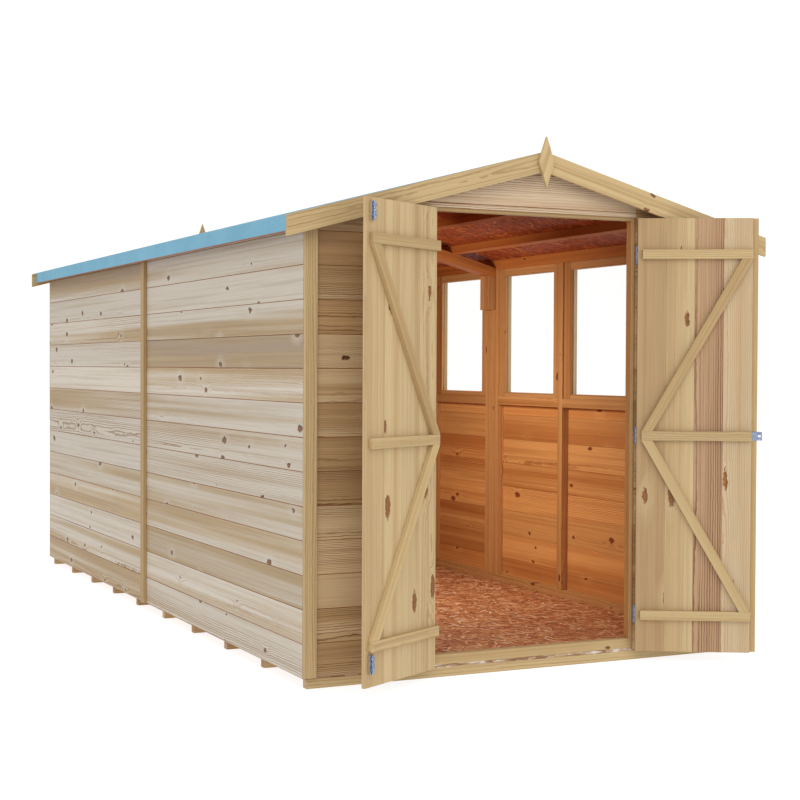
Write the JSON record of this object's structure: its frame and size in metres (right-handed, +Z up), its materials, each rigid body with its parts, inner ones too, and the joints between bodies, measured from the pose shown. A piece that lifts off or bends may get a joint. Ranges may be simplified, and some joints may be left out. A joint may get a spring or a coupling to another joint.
{
  "type": "wooden double-door apex garden shed",
  "caption": "Timber garden shed with a pitched membrane roof, board-clad walls, a windowed side and two outward-opening ledged and braced doors.",
  "frame": {"origin": "centre of the underside of the front floor bearer, which rests on the ground", "axes": "+X to the right as seen from in front of the doors, +Y from the doors to the rear, +Z up"},
  "size_m": [2.236, 4.5753, 2.172],
  "materials": {
    "pine_boards": "planed pine boards with knots and streaked grain, unvarnished",
    "trim_pine": "planed yellowish pine trim",
    "door_pine": "planed pale pine boards with upright grain",
    "frame_pine": "planed warm pine framing",
    "strand_board": "oriented strand board",
    "roof_membrane": "matt pale blue roof membrane",
    "zinc_steel": "zinc plated",
    "window_glass": "clear"
  },
  "bodies": {
    "shed": {"floor_bearers": "trim_pine", "floor_boards": "strand_board", "left_cladding": "pine_boards", "left_studs": "frame_pine", "left_rails": "frame_pine", "right_cladding_low": "pine_boards", "right_cladding_piers": "pine_boards", "right_cladding_top": "pine_boards", "right_studs": "frame_pine", "right_rails": "frame_pine", "window_stiles": "frame_pine", "window_rails": "frame_pine", "window_glass": "window_glass", "front_cladding_left": "pine_boards", "front_cladding_right": "pine_boards", "front_cladding_top": "pine_boards", "front_posts": "frame_pine", "front_rails": "frame_pine", "rear_cladding": "pine_boards", "rear_posts": "frame_pine", "rear_rails": "frame_pine", "gable_rafters": "frame_pine", "corner_strips": "trim_pine", "joint_strips": "trim_pine", "roof_purlins": "frame_pine", "truss_rafters": "frame_pine", "truss_legs": "frame_pine", "roof_board_left": "strand_board", "roof_board_right": "strand_board", "roof_felt": "roof_membrane", "barge_boards": "trim_pine", "finials": "trim_pine", "left_jamb_hinges": "zinc_steel", "right_jamb_hinges": "zinc_steel"},
    "left_door": {"left_door_boards": "door_pine", "left_door_ledges": "trim_pine", "left_door_braces": "trim_pine", "left_door_hinges": "zinc_steel", "left_door_bolts": "zinc_steel"},
    "right_door": {"right_door_boards": "door_pine", "right_door_ledges": "trim_pine", "right_door_braces": "trim_pine", "right_door_hinges": "zinc_steel", "right_door_cover_strip": "trim_pine", "right_door_lock_plate": "zinc_steel"}
  },
  "joints": [
    {"name": "left_door_hinge", "type": "hinge", "parent": "shed", "child": "left_door", "pos_m": [-0.4755, -0.044, 0.955], "axis": [0, 0, 1], "range_deg": [0, 150]},
    {"name": "right_door_hinge", "type": "hinge", "parent": "shed", "child": "right_door", "pos_m": [0.4875, -0.044, 0.955], "axis": [0, 0, 1], "range_deg": [-150, 0]}
  ]
}
